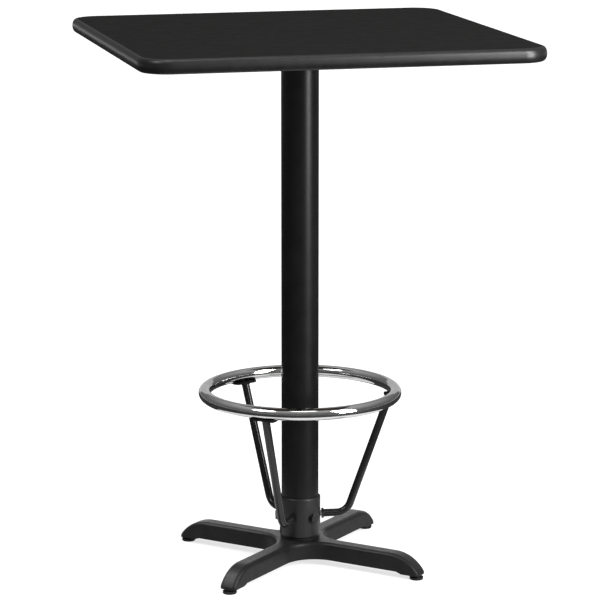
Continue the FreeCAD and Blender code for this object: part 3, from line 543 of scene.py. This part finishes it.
def strut_studs(surface):
    shell = Shell()
    for angle in STRUT_ANGLES:
        out = unit(angle)
        helix(shell, frame_at(out * STUD_START + raised(STUD_HEIGHT), out), *STRUT_THREAD,
              STUD_LENGTH)
    shell.piece("strut_stud_threads", "foot_ring_unit", "zinc_steel", surface, ["strut_studs"])


def glide_studs(surface):
    for side in GLIDE_SIDES:
        node = "glide_stud_" + side
        lo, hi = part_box(node)
        x, y, _ = ((a + b) / 2 / MM for a, b in zip(lo, hi))
        shell = Shell()
        helix(shell, frame_at((x, y, lo[2] / MM), UP, RIGHT), *GLIDE_THREAD,
              (hi[2] - lo[2]) / MM)
        shell.piece("glide_thread_" + side, "glide_" + side, "zinc_steel", surface, [node])


def pan_head(shell, at, radius, height, shank, shank_length, steps=64, rings=18):
    """A pan head with a cross recess; it faces +z, and its shank goes down from z = 0."""
    slot, reach, deep = radius * 0.13, radius * 0.56, height * 0.62
    rim, dome = 0.42, 0.58              # shares of the height

    def crown(x, y):
        """The head's height at a place; the walls of its cross slope."""
        r = math.hypot(x, y) / radius
        z = height * (rim + dome * (1 - min(r, 1) ** 4) ** 0.5)
        near, far = sorted((abs(x), abs(y)))
        inside = max(0.0, min(1.0, (slot * 1.6 - near) / (slot * 0.7)))
        along = max(0.0, min(1.0, (reach - far) / (reach * 0.35)))
        return z - deep * inside * along

    rows = []
    for i in range(1, rings + 1):
        r = radius * (i / rings) ** 0.85
        rows.append([(x, y, crown(x, y)) for x, y, _ in circle(r, 0, steps)])
    rows += [circle(radius, 0, steps), circle(shank, 0, steps),
             circle(shank, -shank_length, steps)]
    first = len(shell.points)
    shell.grid(rows, at)
    middle = len(shell.points)
    shell.points.append(tuple(at @ raised(crown(0, 0))))
    shell.faces += [(middle, first + k, first + (k + 1) % steps) for k in range(steps)]
    shell.faces.append(tuple(range(middle - steps, middle)))


def bracket_screws(surface):
    """Two screws up into each bracket."""
    shell = Shell()
    for angle in STRUT_ANGLES:
        out, along = unit(angle), unit(angle + 90)
        for side in (-BRACKET_SCREW_OFFSET, BRACKET_SCREW_OFFSET):
            place = out * RING_RADIUS + along * side + raised(BRACKET_UNDERSIDE)
            across = unit(angle + RECESS_TURN)
            pan_head(shell, frame_at(place, DOWN, across), **BRACKET_SCREW)
    shell.piece("bracket_pan_screws", "foot_ring_unit", "black_steel", surface,
                ["bracket_screws"])


def spider_screws(surface):
    """Two screws up through each arm of the spider."""
    shell = Shell()
    for angle in LEG_ANGLES:
        for k, reach in enumerate(SPIDER_SCREW_REACHES):
            place = unit(angle) * reach + raised(SPIDER_UNDERSIDE)
            across = unit(angle + SPIDER_RECESS_TURNS[k])
            pan_head(shell, frame_at(place, DOWN, across), **SPIDER_SCREW)
    shell.piece("spider_pan_screws", "table", "zinc_steel", surface, ["spider_screws"])


def weld_beads(surface):
    """Rippled beads where the struts' slanted tops meet their plates.

    A bead's section is an oval, open where it lies against the strut.
    """
    lean = math.radians(STRUT_LEAN)
    steps, bead_steps = 144, 9
    shell = Shell()
    for n, angle in enumerate(STRUT_ANGLES):
        out, along = unit(angle), unit(angle + 90)
        centre = out * STRUT_TOP_RADIUS + raised(BRACKET_UNDERSIDE)
        rows = []
        for k in range(steps):
            u = math.tau * k / steps
            ripple = sum(share * math.sin(waves * u + phase * n)
                         for share, waves, phase in BEAD_RIPPLES)
            size = BEAD_SIZE * (1 + ripple)
            normal = (out * math.cos(u) + along * math.sin(u)).normalized()
            foot = (centre + out * math.cos(u) * STRUT_TUBE / math.cos(lean) +
                    along * math.sin(u) * STRUT_TUBE)
            rows.append([foot + normal * size * (math.cos(v) * 0.9 - 0.25) +
                         Vector(DOWN) * size * (0.75 * math.sin(v) + 0.1)
                         for v in (math.pi * (j / bead_steps * 1.3 - 0.15)
                                   for j in range(bead_steps + 1))])
        shell.grid(rows, closed_rows=True, closed_columns=False)
    shell.piece("strut_weld_beads", "foot_ring_unit", "black_steel", surface, sharp=60)


def rod_end(surface):
    """The bare thread of the tie rod under its nut, which covers the rod's own end."""
    bottom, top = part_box("tie_rod")[0][2] / MM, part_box("rod_nut")[0][2] / MM
    shell = Shell()
    helix(shell, frame_at((0, 0, bottom - ROD_COVER), UP, RIGHT), *ROD_THREAD,
          top - bottom + ROD_COVER, ROD_THREAD_DEPTH)
    shell.piece("rod_end_thread", "table", "zinc_steel", surface)


# ---------------------------------------------------------------- the scene

bpy.context.scene.view_settings.view_transform = "Standard"
make_camera()
make_world()
make_backdrop()
make_floor()
make_flag()
SURFACES = make_materials()
dress_nodes(SURFACES)
edge_moulding(SURFACES["edge_vinyl"])
ring = foot_ring(SURFACES["chrome"])
collar(SURFACES["collar_coat"])
strut_studs(SURFACES["zinc_steel"])
glide_studs(SURFACES["zinc_steel"])
bracket_screws(SURFACES["strut_enamel"])
spider_screws(SURFACES["zinc_steel"])
weld_beads(SURFACES["strut_enamel"])
rod_end(SURFACES["zinc_steel"])
make_sun("key_left", -68, 50, 1.4, 22)
make_sun("overhead", -10, 80, 1.4, 24)
make_panel("strip_right", 39, 14, 244, 2.8, 1.0, (1.05, 2.6))
make_panel("base_left", -105, 54, 60, 2.0, 0.03, (1.2, 0.8), [NODES["x_base"]])
make_panel("base_back", 158, 0, 17, 1.6, 0.55, (3.2, 0.95), [NODES["x_base"]])
make_panel("ring_back", 166, 0, 11, 3.0, 0.356, (3.0, 2.6), [ring])
